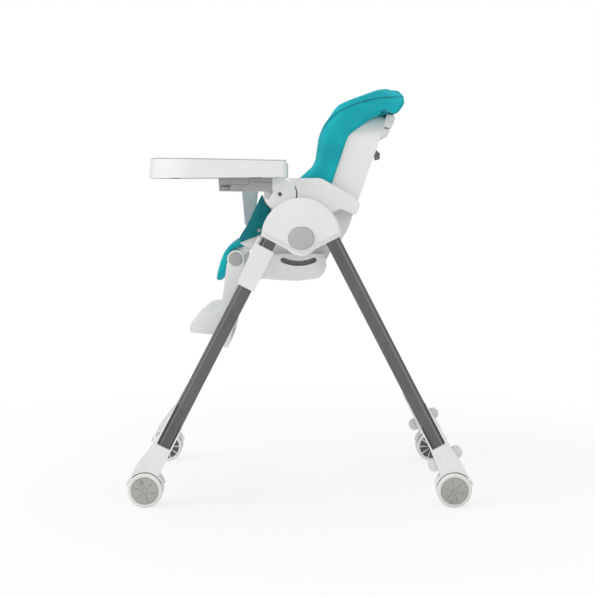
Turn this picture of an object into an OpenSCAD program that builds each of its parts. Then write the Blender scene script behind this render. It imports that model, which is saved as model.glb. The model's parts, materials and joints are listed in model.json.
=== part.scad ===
// Baby high chair: folding A-frame on twin castors, sliding reclining bucket seat,
// swing-up sliding tray and adjustable leg rest. Millimetres, +Z up, the sitter faces -Y.

/* [Part] */
// Which piece to draw

/* [Frame] */
// Lean of each leg from the vertical
leg_tilt = 27.35; // [26.5:0.05:28.5]
// Fold pivot height above the floor
hub_z = 672; // [655:1:690]
// Fold pivot set back from the middle of the wheelbase
hub_y = 3.5; // [0:0.5:6]
// Fold pivot to the centre line of a leg
leg_arm = 66; // [63:0.5:70]
// Gap from the under-pan's side to the middle of a leg
frame_gap = 45; // [43:0.5:50]
// Leg tube depth, seen from the side
leg_w = 36; // [33:0.5:37]
// Leg tube thickness, seen from the front
leg_t = 22; // [20:0.5:24]
// Leg tube corner radius
leg_r = 7; // [4:0.5:9]
// Leg tube wall
leg_wall = 1.6; // [1.2:0.1:2.4]
// Leg tube rise above the fold pivot
leg_rise = 22; // [14:1:26]
// Height of the leg tube ends above the floor
tube_end_h = 153; // [148:1:158]
// Cross bar diameter
bar_d = 28; // [22:1:30]
// Front cross bar above the tube's lower end, along the leg
front_bar_up = 56.455; // [50:0.005:62]
// Rear cross bar, distance down the leg
rear_bar_s = 440; // [430:1:480]

/* [Hub] */
// Hub disc radius
hub_r = 98; // [95:0.5:102]
// Housing edge below the fold pivot, along a leg
hub_drop = 40; // [38:0.5:43]
// Outer cover edge below the fold pivot, along a leg
cover_drop = 31; // [28:0.5:34]
// Outer cover set in from the housing edge
cover_inset = 1.5; // [1:0.1:3]
// Housing plate thickness
housing_t = 6; // [5:0.5:8]
// Outer cover thickness
cover_t = 10; // [8:0.5:12]
// Hub back plate thickness
back_plate_t = 5; // [4:0.5:6]
// Hub rim thickness
rim_t = 5; // [4:0.5:6]
// Fold pin radius
fold_pin_r = 12; // [10:0.5:14]
// Fold knuckle radius
knuckle_r = 36; // [32:0.5:40]
// Fold button width
button_w = 62; // [56:1:66]
// Fold button height
button_h = 53; // [48:1:55]
// Fold button proud of the cover
button_proud = 5; // [4.5:0.5:8]
// Fold button travel
button_travel = 4; // [2:0.5:4]

/* [Feet and wheels] */
// Wheel radius
wheel_r = 43.5; // [42:0.5:45]
// Wheel centre set in from the leg line
wheel_inset = 13.7; // [12:0.1:15]
// Width of one wheel of a pair
wheel_w = 19; // [17:0.5:20]
// Wheel edge rounding
wheel_edge_r = 4; // [2:0.5:6]
// Web between the two wheels of a pair
web_t = 12; // [10:0.5:14]
// Axle radius
axle_r = 4; // [3:0.25:5]
// Wheel cap radius
cap_r = 35; // [33:0.5:37]
// Wheel cap thickness
cap_t = 3; // [2:0.5:4]
// Number of slots round a wheel cap
cap_slots = 6; // [5:1:8]
// Gap between a wheel and its guard
guard_gap = 2.5; // [2:0.25:3]
// Guard thickness over a wheel
guard_t = 3; // [2.5:0.25:4]
// Foot lip thickness either side of the leg
lip_t = 4; // [3:0.25:5]
// Foot lip length up the leg
lip_len = 112; // [100:1:118]
// Foot body width
foot_w = 40; // [36:1:44]
// Brake pedal length between lobe centres
pedal_len = 64; // [60:1:68]
// Brake pedal lobe radius
pedal_r = 15; // [13:0.5:16]
// Brake pedal bar thickness
pedal_t = 10; // [8:0.5:12]
// Brake pedal width
pedal_w = 20; // [16:1:22]
// Brake pedal height above the floor
pedal_h = 120; // [118:0.5:122]

/* [Seat] */
// Outer width of the seat tub
tub_w = 360; // [330:1:400]
// Seat tub wall
tub_t = 4; // [3.5:0.25:5]
// Recline pivot behind the fold pivot
rec_dy = 4.5; // [3:0.5:7]
// Recline pivot below the fold pivot
rec_dz = 12; // [9:0.5:14]
// Radius of the tub heel round the recline pivot
heel_r = 74; // [72:0.5:75]
// Front of the seat tub ahead of the recline pivot
tub_front = 157; // [155:0.5:159]
// Front of the tub floor above the recline pivot
tub_lip_z = -6; // [-8:0.5:-4]
// Top of the tub sides above the recline pivot
tub_top_z = 128; // [124:0.5:132]
// Slope of the front edge of the tub sides
tub_slope = 26; // [24:0.5:28]
// Step from the tub's side out to the under-pan's
pan_step = 20; // [18:0.5:22]
// Under-pan wall
pan_t = 5; // [4:0.5:6]
// Under-pan depth below the recline pivot
pan_drop = 97; // [94:0.5:100]
// Under-pan length
pan_len = 150; // [146:1:154]
// Hand slot length in the under-pan side
slot_len = 86; // [80:1:90]
// Hand slot height
slot_h = 13; // [10:0.5:15]
// Sleeve wall round the front leg
sleeve_wall = 6; // [5:0.5:7]
// Sleeve top, distance down the leg
sleeve_top = 62; // [60:0.5:66]
// Sleeve length
sleeve_len = 109; // [104:1:114]
// Sleeve lip ahead of the front leg
sleeve_front = 11; // [8:0.5:13]
// Armrest width
arm_w = 42; // [38:1:43]
// Armrest top above the recline pivot
arm_top_z = 158; // [155:0.5:159]
// Armrest reach behind the recline pivot
arm_back = 137; // [130:1:142]
// Seat cushion thickness
cushion_t = 22; // [16:1:26]
// Side flap thickness
flap_t = 4; // [3:0.5:5]
// Snap stud radius
stud_r = 4.2; // [3.5:0.1:5]

/* [Backrest] */
// Backrest lean at rest
back_tilt = 19.5; // [18:0.25:21]
// Back shell length above the recline pivot
back_len = 372; // [366:1:378]
// Back shell rear face behind the recline pivot
back_depth = 97; // [95:0.5:99]
// Back shell side wall front edge behind the recline pivot
wing_front = 20; // [17:0.5:24]
// Gap from the tub's side in to the back shell's
back_gap = 17; // [16:0.5:21]
// Back shell top corner radius
back_round = 96; // [80:2:110]
// Back shell wall
back_t = 4; // [3.5:0.25:5]
// Recline ear radius
ear_r = 25; // [22:0.5:27]
// Recline pin radius
ear_pin_r = 9; // [7:0.5:10]
// Head block depth behind the back shell
head_depth = 20; // [16:0.5:24]
// Head block width
head_w = 230; // [210:2:250]
// Head block height
head_h = 56; // [50:1:60]
// Recline lever width
lever_w = 96; // [80:2:110]
// Back cushion panel thickness
back_pad_t = 26; // [20:1:30]
// Side bolster thickness
bolster_t = 40; // [34:1:44]
// Side bolster front ahead of the recline pivot
bolster_front = 45; // [40:1:48]
// Back cushion top above the recline pivot
pad_top = 440; // [434:1:446]

/* [Leg rest] */
// Leg rest pivot ahead of the recline pivot
rest_dy = 170; // [168:0.5:172]
// Leg rest pivot below the recline pivot
rest_dz = 45; // [43:0.5:47]
// Gap from the tub's side in to the leg rest's
rest_gap = 10; // [8:0.5:14]
// Leg rest cheek thickness
cheek_t = 16; // [14:0.5:18]
// Leg rest ring radius
ring_r = 21.5; // [20:0.5:22]
// Leg rest pivot pin radius
rest_pin_r = 8; // [7:0.5:9]
// Leg rest push button radius
rest_button_r = 17; // [15:0.5:18]
// Push button travel
rest_button_travel = 3; // [2:0.5:3]
// Leg rest length from the pivot to the foot plate
shin_len = 150; // [145:1:156]
// Foot plate reach ahead of the pivot
toe_reach = 118; // [112:1:122]
// Foot plate thickness at the toe
toe_t = 20; // [16:1:24]
// Leg rest panel thickness
shin_t = 5; // [4:0.5:6]
// Calf pad tail thickness
tail_t = 9; // [7:0.5:9.5]

/* [Tray] */
// Tray side beyond the rail
tray_over = 33; // [29:0.5:33.5]
// Tray underside above the recline pivot
tray_z = 160; // [159.5:0.5:163]
// Tray height
tray_h = 42; // [38:0.5:45]
// Tray front edge ahead of the recline pivot
tray_front = 408; // [396:1:412]
// Tray rear edge ahead of the recline pivot
tray_rear = 40; // [39.5:0.5:44]
// Waist cut-out depth
waist = 96; // [86:1:104]
// Tray wall
tray_t = 3; // [2.5:0.25:3.5]
// Tray bed depth below the rim
bed_drop = 20; // [17:0.5:22]
// Insert rim thickness
rim_h = 2.4; // [2:0.1:3]
// Insert well depth
well_drop = 13; // [10:0.5:14]
// Insert set in from the tray edge
insert_gap = 5; // [4:0.5:8]
// Tray arm pivot ahead of the recline pivot
arm_dy = 56.7; // [55:0.1:58]
// Tray arm pivot above the recline pivot
arm_dz = 118.5; // [117:0.5:119.5]
// Tray arm disc radius
disc_r = 40; // [38:0.5:41]
// Tray arm block length
block_len = 75; // [72:1:78]
// Gap between the tray arm's pivot and its rail block
block_y = 19; // [18.5:0.5:20]
// Tray arm rail length ahead of the block
rail_len = 48; // [44:1:52]
// Tray arm rail height
rail_h = 16.5; // [14:0.5:18]
// Tray arm width
rail_w = 22; // [20:0.5:24]
// Crotch post width
post_w = 44; // [38:1:50]

/* [Fits] */
// Radial clearance of a turning pin
pin_fit = 0.05; // [0.02:0.01:0.1]
// Clearance of the sleeves on the front legs
slide_fit = 0.1; // [0.05:0.01:0.2]
// Side clearance of moving faces
face_fit = 0.5; // [0.3:0.1:0.8]
// Gap round cushions
soft_gap = 0.4; // [0.3:0.1:0.8]
// Corner arc steps
steps = 7; // [5:1:9]

/* [Hidden] */
$fn = 48;
st = sin(leg_tilt);
ct = cos(leg_tilt);
tub_x = tub_w/2;
pan_x = tub_x + pan_step;
leg_x = pan_x + frame_gap;
x_out = leg_x + leg_t/2;
x_in = leg_x - leg_t/2;
plate_x = x_out + face_fit;
cover_x = plate_x + housing_t;
cover_out = cover_x + cover_t;
foot_z0 = hub_z + leg_arm*st;
leg_end = (foot_z0 - tube_end_h)/ct;
wheel_s = (foot_z0 - wheel_r)/ct;
wheel_y = leg_arm*ct + wheel_s*st - wheel_inset;
pedal_s = (foot_z0 - pedal_h)/ct;
foot_in = leg_x - foot_w/2;
foot_out = leg_x + foot_w/2;
rec_y = hub_y + rec_dy;
rec_z = hub_z - rec_dz;
tub_in = tub_x - tub_t;
rest_y = rec_y - rest_dy;
rest_z = rec_z - rest_dz;
rest_x = tub_x - rest_gap;
arm_y = rec_y - arm_dy;
arm_z = rec_z + arm_dz;
back_x = tub_x - back_gap;
tray_under = rec_z + tray_z;
tray_top = tray_under + tray_h;
tray_bed = tray_top - bed_drop;
front_y = rec_y - tray_front;
rear_y = rec_y - tray_rear;
rail_in = pan_x;
rail_out = rail_in + rail_w;
tray_x = rail_out + tray_over;
white = [0.93, 0.93, 0.92];
shade = [0.84, 0.85, 0.85];
grey = [0.42, 0.42, 0.42];
mid = [0.66, 0.66, 0.65];
teal = [0.07, 0.63, 0.68];

// ---- outline helpers: points are [across, up, corner radius] ----
function dirn(v) = v/norm(v);
function arc(c, r, a0, a1, n) = [for (i = [0:n]) c + r*[cos(a0 + (a1 - a0)*i/n), sin(a0 + (a1 - a0)*i/n)]];
function corner(a, b, c, r, n) =
    let (u = dirn(a - b), v = dirn(c - b), half = acos(u*v)/2, m = dirn(u + v),
         o = b + m*r/sin(half), p = b + u*r/tan(half) - o, a0 = atan2(p[1], p[0]))
    arc(o, r, a0, a0 - sign(cross([u[0], u[1], 0], [v[0], v[1], 0])[2])*(180 - 2*half), n);
function xy(p) = [p[0], p[1]];
function soften(pts) = let (n = len(pts)) [for (i = [0:n - 1])
    let (p = pts[i], q = xy(p))
    each (p[2] == undef || p[2] == 0) ? [q]
        : corner(xy(pts[(i + n - 1) % n]), q, xy(pts[(i + 1) % n]), p[2], steps)];
module shape(pts) {
    polygon(soften(pts));
}
// Side outline (Y, Z) drawn out from x0 to x1
module side(x0, x1) {
    translate([x0, 0, 0]) rotate([90, 0, 90]) linear_extrude(x1 - x0) children();
}
// Front outline (X, Z) drawn out from y0 to y1
module front(y0, y1) {
    translate([0, y1, 0]) rotate([90, 0, 0]) linear_extrude(y1 - y0) children();
}
// Round bar along X
module bar(y, z, r, x0, x1) {
    translate([x0, y, z]) rotate([0, 90, 0]) cylinder(h = x1 - x0, r = r);
}
module on(s) {
    if (s > 0) children();
    else mirror([1, 0, 0]) children();
}
module both() {
    children();
    mirror([1, 0, 0]) children();
}
module block(w, d, r) {
    square([w - 2*r, d], center = true);
    square([w, d - 2*r], center = true);
    for (x = [-1, 1], y = [-1, 1]) translate([x*(w/2 - r), y*(d/2 - r)]) circle(r);
}
// Side point: p outwards from the leg line, s down the leg; d is -1 front, 1 rear
function leg_pt(d, p, s) = [hub_y + d*((leg_arm + p)*ct + s*st), hub_z + (leg_arm + p)*st - s*ct];
function leg_pr(d, p, s, r) = concat(leg_pt(d, p, s), [r]);
// Solid along the leg line: z = 0 at distance s down the leg, upwards
module on_leg(d, s) {
    translate([leg_x, leg_pt(d, 0, s)[0], leg_pt(d, 0, s)[1]]) rotate([d*leg_tilt, 0, 0]) children();
}
module leg_solid(d, s0, s1, fit = 0) {
    on_leg(d, s1) linear_extrude(s1 - s0) block(leg_t + 2*fit, leg_w + 2*fit, leg_r + fit);
}
// Recline frame: y runs back, z runs up the backrest
module on_back() {
    translate([0, rec_y, rec_z]) rotate([-back_tilt, 0, 0]) children();
}

// ---- frame ----
module leg(d) {
    difference() {
        leg_solid(d, -leg_rise, leg_end);
        on_leg(d, leg_end + 1) linear_extrude(leg_end + leg_rise + 2)
            block(leg_t - 2*leg_wall, leg_w - 2*leg_wall, leg_r - leg_wall);
    }
}
module hub_outline(r, drop, boss) {
    intersection() {
        circle(r);
        polygon([[0, r*2], [-r*2, r*2], [-r*2, r*2*st/ct - drop/ct], [0, -drop/ct],
                 [r*2, r*2*st/ct - drop/ct], [r*2, r*2]]);
    }
    circle(boss);
}
module at_hub() {
    translate([hub_y, hub_z]) children();
}
module front_leg_left() {
    color(grey) leg(-1);
}
module front_leg_right() {
    color(grey) on(-1) leg(-1);
}
module rear_leg_left() {
    color(grey) leg(1);
}
module rear_leg_right() {
    color(grey) on(-1) leg(1);
}
module cross_bar(d, s, x) {
    p = leg_pt(d, 0, s);
    difference() {
        bar(p[0], p[1], bar_d/2, -x, x);
        bar(p[0], p[1], bar_d/2 - leg_wall, -x - 1, x + 1);
    }
}
module front_bar() {
    color(grey) cross_bar(-1, leg_end - front_bar_up, foot_in);
}
module rear_bar() {
    color(grey) cross_bar(1, rear_bar_s, x_in);
}
// Housing: outer plate, rim over the top, socket for the front leg and the fold pin
module hub_housing() {
    difference() {
        union() {
            side(plate_x, cover_x) at_hub() hub_outline(hub_r, hub_drop, hub_drop + 3.5);
            side(x_in - face_fit, plate_x) at_hub() difference() {
                circle(hub_r);
                circle(hub_r - rim_t);
                polygon([[0, 8], [3*hub_r, 8], [3*hub_r, -3*hub_r], [-3*hub_r, -3*hub_r], [-3*hub_r, 8]]);
            }
            on_leg(-1, hub_drop) translate([face_fit/2, 3, 0]) linear_extrude(hub_drop + leg_rise)
                square([leg_t + face_fit, leg_w + 14], center = true);
            bar(hub_y, hub_z, fold_pin_r, x_in - face_fit, plate_x + 1);
        }
        leg_solid(-1, -leg_rise, leg_end);
        side(x_in - 30, cover_x + 30) at_hub() difference() {
            circle(3*hub_r);
            hub_outline(hub_r, hub_drop, hub_drop + 3.5);
        }
    }
}
module hub_housing_left() {
    color(white) hub_housing();
}
module hub_housing_right() {
    color(white) on(-1) hub_housing();
}
module hub_cover() {
    difference() {
        union() {
            side(cover_x, cover_out - 3) at_hub() hub_outline(hub_r - cover_inset, cover_drop, cover_drop + 2);
            side(cover_out - 3, cover_out) at_hub() hub_outline(hub_r - cover_inset - 3, cover_drop - 3, cover_drop - 1);
        }
        side(cover_x - 1, cover_out + 1) at_hub() block(button_w + 2*face_fit, button_h + 2*face_fit, button_h/2);
    }
}
module hub_cover_left() {
    color(white) hub_cover();
}
module hub_cover_right() {
    color(white) on(-1) hub_cover();
}
module back_plate() {
    side(x_in - face_fit - back_plate_t, x_in - face_fit)
        at_hub() hub_outline(hub_r - 1, hub_drop - 2, hub_drop);
}
module hub_back_left() {
    color(white) back_plate();
}
module hub_back_right() {
    color(white) on(-1) back_plate();
}
module fold_button() {
    side(cover_x + button_travel + 0.5, cover_out + button_proud - 1.5) at_hub() block(button_w, button_h, button_h/2 - 0.5);
    side(cover_out + button_proud - 1.5, cover_out + button_proud) at_hub() block(button_w - 3, button_h - 3, button_h/2 - 2);
}
module fold_button_left() {
    color(mid) fold_button();
}
module fold_button_right() {
    color(mid) on(-1) fold_button();
}
// Knuckle: disc on the fold pin with an arm and socket for the rear leg
module knuckle() {
    difference() {
        union() {
            bar(hub_y, hub_z, knuckle_r, x_in, x_out);
            on_leg(1, hub_drop - 8) translate([0, -leg_w/2 - 15, 0]) linear_extrude(hub_drop - 8 + leg_rise - 6)
                square([leg_t, 34], center = true);
        }
        leg_solid(1, -leg_rise - 1, leg_end);
        bar(hub_y, hub_z, fold_pin_r + pin_fit, x_in - 1, x_out + 1);
    }
}
module knuckle_left() {
    color(shade) knuckle();
}
module knuckle_right() {
    color(shade) on(-1) knuckle();
}

// ---- feet, castors and brakes ----
module foot_outline(d) {
    lip = leg_w/2 + lip_t;
    top = leg_end - lip_len;
    difference() {
        union() {
            shape([leg_pr(d, leg_w/2, top, 0), leg_pr(d, -leg_w/2, top + 50, 0), leg_pr(d, -lip, top + 66, 20),
                   leg_pr(d, -lip, leg_end + 4, 30), [d*(wheel_y - 0.82*wheel_r), wheel_r*1.9, 0],
                   [d*wheel_y, wheel_r, 0], [d*(wheel_y + wheel_r), wheel_r*1.45, 24],
                   [d*(wheel_y + 0.45*wheel_r), wheel_r*2.5, 30], leg_pr(d, lip + 3, leg_end - 4, 30),
                   leg_pr(d, lip, top + 56, 30)]);
            translate([d*wheel_y, wheel_r]) circle(wheel_r + guard_gap + guard_t);
        }
        translate([-600, -20]) square([1200, wheel_r + 32]);
        translate([d*wheel_y - d*(wheel_r + 60) - 50, -1]) square([100, wheel_r*1.75 + 1]);
    }
}
module foot(d) {
    difference() {
        union() {
            side(foot_in, foot_out) foot_outline(d);
            side(leg_x - web_t/2, leg_x + web_t/2) intersection() {
                translate([d*wheel_y, wheel_r]) union() {
                    circle(13);
                    translate([-13, 0]) square([26, wheel_r + 6]);
                }
                translate([-600, 0]) square([1200, 400]);
            }
        }
        for (x = [[foot_in - 1, leg_x - web_t/2], [leg_x + web_t/2, foot_out + 1]])
            bar(d*wheel_y, wheel_r, wheel_r + guard_gap, x[0], x[1]);
        difference() {
            bar(d*wheel_y, wheel_r, wheel_r + guard_gap, leg_x - web_t/2 - 1, leg_x + web_t/2 + 1);
            translate([0, d*wheel_y - 16, 0]) cube([400, 32, wheel_r*2 + 12]);
        }
        bar(d*wheel_y, wheel_r, axle_r, foot_in - 1, foot_out + 1);
        leg_solid(d, leg_end - lip_len - 60, leg_end);
        on_leg(d, leg_end) translate([leg_t/2 + 10, 0, 0]) linear_extrude(lip_len + 60) square([20 + leg_r*2, leg_w], center = true);
        if (d > 0) pedal_slot();
    }
}
module at_pedal() {
    p = leg_pt(1, 0, pedal_s);
    translate([leg_x, p[0], p[1]]) rotate([leg_tilt + 4, 0, 0]) children();
}
module pedal_slot() {
    at_pedal() rotate([90, 0, 90]) translate([0, 0, -pedal_w/2 - 1]) linear_extrude(pedal_w + 2) {
        for (a = [-12:6:12]) rotate(a) {
            square([pedal_len, pedal_t + 1], center = true);
            for (y = [-1, 1]) translate([y*pedal_len/2, 0]) circle(pedal_r + 1);
        }
    }
    at_pedal() rotate([0, 90, 0]) translate([0, 0, -foot_w]) cylinder(h = 2*foot_w, r = 3 - pin_fit);
}
module pedal() {
    at_pedal() difference() {
        rotate([90, 0, 90]) translate([0, 0, -pedal_w/2]) linear_extrude(pedal_w) {
            square([pedal_len, pedal_t], center = true);
            for (y = [-1, 1]) translate([y*pedal_len/2, 0]) circle(pedal_r);
        }
        rotate([0, 90, 0]) translate([0, 0, -pedal_w]) cylinder(h = 2*pedal_w, r = 3);
    }
}
module pedal_pin() {
    at_pedal() rotate([0, 90, 0]) translate([0, 0, -foot_w/2]) cylinder(h = foot_w, r = 3 - pin_fit);
}
module foot_front_left() {
    color(white) foot(-1);
}
module foot_front_right() {
    color(white) on(-1) foot(-1);
}
module foot_rear_left() {
    color(white) foot(1);
}
module foot_rear_right() {
    color(white) on(-1) foot(1);
}
module brake_left() {
    color(shade) pedal();
}
module brake_right() {
    color(shade) on(-1) pedal();
}
// One castor wheel: tread ring, dished disc and hub, turned about its axle
module wheel_half() {
    bore = axle_r + pin_fit;
    rotate_extrude() difference() {
        union() {
            translate([bore, 0]) square([wheel_r - bore - wheel_edge_r, wheel_w]);
            translate([bore, wheel_edge_r]) square([wheel_r - bore, wheel_w - 2*wheel_edge_r]);
            for (z = [wheel_edge_r, wheel_w - wheel_edge_r]) translate([wheel_r - wheel_edge_r, z]) circle(wheel_edge_r);
        }
        translate([-1, wheel_w - cap_t]) square([cap_r + 1, cap_t + 1]);
        translate([12, -1]) square([cap_r - 14, wheel_w - cap_t - 3]);
    }
}
module at_wheel(d) {
    translate([leg_x, d*wheel_y, wheel_r]) children();
}
module wheel_pair(d) {
    for (s = [1, -1]) at_wheel(d) rotate([0, s*90, 0]) translate([0, 0, web_t/2 + 0.5]) {
        wheel_half();
        for (a = [0:30:330]) rotate(a) translate([11, -1, 1.5]) cube([cap_r - 12, 2, wheel_w - cap_t - 3]);
    }
}
module caps(d) {
    for (s = [1, -1]) at_wheel(d) rotate([0, s*90, 0]) translate([0, 0, web_t/2 + 0.5 + wheel_w - cap_t]) difference() {
        union() {
            cylinder(h = cap_t - 0.8, r = cap_r);
            cylinder(h = cap_t, r = cap_r - 3);
        }
        for (i = [0:cap_slots - 1]) rotate(i*360/cap_slots + 15) translate([cap_r*0.62, 0, cap_t - 1.2])
            linear_extrude(2) block(cap_r*0.36, 3.4, 1.6);
        translate([0, 0, cap_t - 0.8]) difference() {
            cylinder(h = 2, r = 9);
            translate([0, 0, -1]) cylinder(h = 4, r = 7.5);
        }
    }
}
module axle(d) {
    at_wheel(d) rotate([0, 90, 0]) translate([0, 0, 0.5 - web_t/2 - wheel_w + cap_t]) cylinder(h = web_t + 2*(wheel_w - cap_t) - 1, r = axle_r);
}
module wheel_front_left() {
    color(white) wheel_pair(-1);
}
module wheel_front_right() {
    color(white) on(-1) wheel_pair(-1);
}
module wheel_rear_left() {
    color(white) wheel_pair(1);
}
module wheel_rear_right() {
    color(white) on(-1) wheel_pair(1);
}
module caps_front_left() {
    color(mid) caps(-1);
}
module caps_front_right() {
    color(mid) on(-1) caps(-1);
}
module caps_rear_left() {
    color(mid) caps(1);
}
module caps_rear_right() {
    color(mid) on(-1) caps(1);
}
module front_axles() {
    color(grey) both() axle(-1);
}
module rear_pins() {
    color(grey) both() {
        axle(1);
        pedal_pin();
    }
}

// ---- seat ----
module at_rec() {
    translate([rec_y, rec_z]) children();
}
lip = [-tub_front + 2, tub_lip_z];
lip_a = atan2(lip[1], lip[0]) + 360*(lip[1] < 0 ? 1 : 0) + acos(heel_r/norm(lip));
lip_n = [cos(lip_a), sin(lip_a)];
// Tub floor shape: round heel run out to the front lip, k inside the outer face
module tub_fill(k) {
    circle(heel_r - k);
    polygon([[0, 0], (heel_r - k)*lip_n, lip - k*lip_n - k*(1 + lip_n[0])/lip_n[1]*[-lip_n[1], lip_n[0]],
             [lip[0] + k, lip[1] + 11], [0, lip[1] + 11]]);
}
module tub_sides() {
    top_y = lip[0] + (tub_top_z - lip[1])*tan(tub_slope);
    tub_fill(0);
    shape([[lip[0] - 2, lip[1], 3], [lip[0] - 2, lip[1] + 10, 6], [top_y, tub_top_z, 16],
           [60, tub_top_z, 12], [heel_r*cos(6), heel_r*sin(6), 0], [0, -20, 0]]);
}
module seat_tub() {
    color(white) {
        difference() {
            union() {
                side(-tub_x, tub_x) at_rec() tub_sides();
                both() side(rest_x - cheek_t - face_fit - 16, rest_x - cheek_t - face_fit) at_rec() translate([-rest_dy, -rest_dz]) {
                    circle(rest_pin_r + 9);
                    rotate(45) translate([0, -10]) square([60, 20]);
                }
            }
            side(-tub_in, tub_in) at_rec() {
                tub_fill(tub_t);
                polygon([[lip[0] + tub_t, lip[1] + 9], [lip[0] - 9, lip[1] + 10], [lip[0] - 9, 400], [400, 400],
                         [400, heel_r*sin(6)], [0, heel_r*sin(6)], [0, lip[1] + 9]]);
            }
        }
        both() {
            bar(rec_y, rec_z, ear_pin_r, tub_in - 12, tub_in + 1);
            bar(rest_y, rest_z, rest_pin_r, rest_x - cheek_t - 2, rest_x - 7);
            bar(arm_y, arm_z, 8, tub_in, rail_out - 3);
        }
    }
}
module pan_outline(k) {
    back = 59 - k;
    low = k - pan_drop;
    shape([[back - pan_len + 2*k, -30, 0], [back - pan_len + 2*k, low + 3, 14], [-18, low - 1, 140],
           [back - 12, low + 6, 26], [back, low + 36, 18], [back - 4, -30, 0]]);
}
module smile() {
    r = 95;
    half = asin(slot_len/2/r) - 3;
    translate([-11, r - 54]) {
        difference() {
            circle(r + slot_h/2);
            circle(r - slot_h/2);
            polygon([[0, 0], 2*r*[sin(half), -cos(half)], [3*r, 0], [0, 3*r], [-3*r, 0], 2*r*[-sin(half), -cos(half)]]);
        }
        for (a = [-half, half]) rotate(a) translate([0, -r]) circle(slot_h/2);
    }
}
// Ear of the pan side that is hidden behind the sleeve, where the carrier holds it
module pan_ear(k) {
    shape([leg_pr(-1, -4 + k, sleeve_top + 20, 6), leg_pr(-1, -4 + k, sleeve_top + sleeve_len - 20 + k, 8),
           [rec_y + 66 - pan_len, rec_z - pan_drop + 4, 0], [rec_y + 66 - pan_len, rec_z - 30, 0]]);
}
module under_pan() {
    color(shade) difference() {
        union() {
            side(-pan_x, pan_x) at_rec() pan_outline(0);
            both() side(pan_x - pan_t, pan_x) pan_ear(0);
        }
        both() side(pan_x - 1.2, pan_x + 1) at_rec() difference() {
            pan_outline(8);
            translate([-400, -40]) square([800, 60]);
        }
        side(-pan_x + pan_t, pan_x - pan_t) at_rec() union() {
            pan_outline(pan_t);
            translate([-60, -50]) square([90, 40]);
        }
        side(-tub_x, tub_x) at_rec() tub_sides();
        side(-pan_x - 1, pan_x + 1) at_rec() smile();
    }
}
// Sleeve that rides on the front leg, with the arm that carries the under-pan
module carrier() {
    s0 = sleeve_top;
    s1 = sleeve_top + sleeve_len;
    difference() {
        union() {
            side(x_in - sleeve_wall, x_out + sleeve_wall) {
                shape([leg_pr(-1, leg_w/2 + sleeve_front, s0, 2), leg_pr(-1, leg_w/2 + 5, s1, 4),
                       leg_pr(-1, -leg_w/2 - 5, s1, 4), leg_pr(-1, -leg_w/2 - 5, s0, 2)]);
                shape([leg_pr(-1, leg_w/2 + sleeve_front, hub_drop + 4, 2), leg_pr(-1, leg_w/2 + sleeve_front, s0 + 6, 0),
                       leg_pr(-1, leg_w/2 + 5, s0 + 6, 0), leg_pr(-1, leg_w/2 + 6, hub_drop + 4, 2)]);
            }
            side(pan_x, x_in - 2) shape([leg_pr(-1, -6, sleeve_top + 26, 4), leg_pr(-1, -6, s1 - 24, 6),
                leg_pr(-1, -leg_w/2 - 2, s1 - 24, 6), leg_pr(-1, -leg_w/2 - 2, sleeve_top + 26, 4)]);
        }
        leg_solid(-1, -leg_rise, leg_end, slide_fit);
    }
}
module carrier_left() {
    color(white) carrier();
}
module carrier_right() {
    color(white) on(-1) carrier();
}
module armrest() {
    side(tub_x, tub_x + arm_w - 3) armrest_outline(0);
    side(tub_x + arm_w - 3, tub_x + arm_w) armrest_outline(2.5);
}
module armrest_outline(k) {
    at_rec() difference() {
        shape([[-62, arm_top_z - k, 0], [44, arm_top_z - k, 34], [arm_back - 8 - k, arm_top_z - 46 - k, 26],
               [arm_back + 4 - k, arm_top_z - 66, 9], [arm_back - 6 - k, arm_top_z - 92 + k, 8],
               [arm_back - 46, arm_top_z - 76 + k, 14], [60, arm_top_z - 94 + k, 8], [-62, arm_top_z - 94 + k, 0]]);
        translate([-arm_dy, arm_dz]) circle(disc_r + 2.5 + k/2);
        translate([-arm_dy - 200, 0]) square([200, 300]);
    }
}
module armrest_left() {
    color(white) armrest();
}
module armrest_right() {
    color(white) on(-1) armrest();
}
// Front corner of the floor line, k inside the outer face
function lip_at(k) = lip - k*lip_n - k*(1 + lip_n[0])/lip_n[1]*[-lip_n[1], lip_n[0]];
// Cushion on the tub floor and heel, with a front roll that hugs the calf pad's tail
module cushion_line() {
    out_k = tub_t + soft_gap;
    in_k = out_k + cushion_t;
    top_z = lip[1] + 10 + soft_gap;
    roll_r = tail_t + 25;
    shape(concat(
        arc([0, 0], heel_r - out_k, asin(top_z/(heel_r - out_k)), lip_a - 360, 3*steps),
        [lip_at(out_k), [lip[0] + 8, top_z], [-tub_front - soft_gap, top_z]],
        arc([-rest_dy, -rest_dz], roll_r, acos((rest_dy - tub_front - soft_gap)/roll_r), 150, 2*steps),
        [[-202, -27, 2], [-191, -8, 16], [-172, 7, 22], [-138, 19, 24], [-113, 0.5, 8]],
        arc([0, 0], heel_r - in_k, lip_a - 360, asin(top_z/(heel_r - in_k)), 3*steps)));
}
module seat_cushion() {
    color(teal) side(-tub_in + 18, tub_in - 18) at_rec() cushion_line();
}
module flap_outline() {
    difference() {
        shape([[-156, 9, 4], [-103, 118, 8], [-80, 118, 0], [-80, 30, 0], [-112, 15, 8], [-156, -5, 4]]);
        translate([-arm_dy, arm_dz]) circle(disc_r + 3);
    }
}
module seat_flap() {
    difference() {
        side(tub_x, tub_x + flap_t) at_rec() flap_outline();
        bar(rec_y - 110, rec_z + 27.5, stud_r - 1, 0, 400);
    }
}
module seat_flap_left() {
    color(teal) seat_flap();
}
module seat_flap_right() {
    color(teal) on(-1) seat_flap();
}
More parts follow.
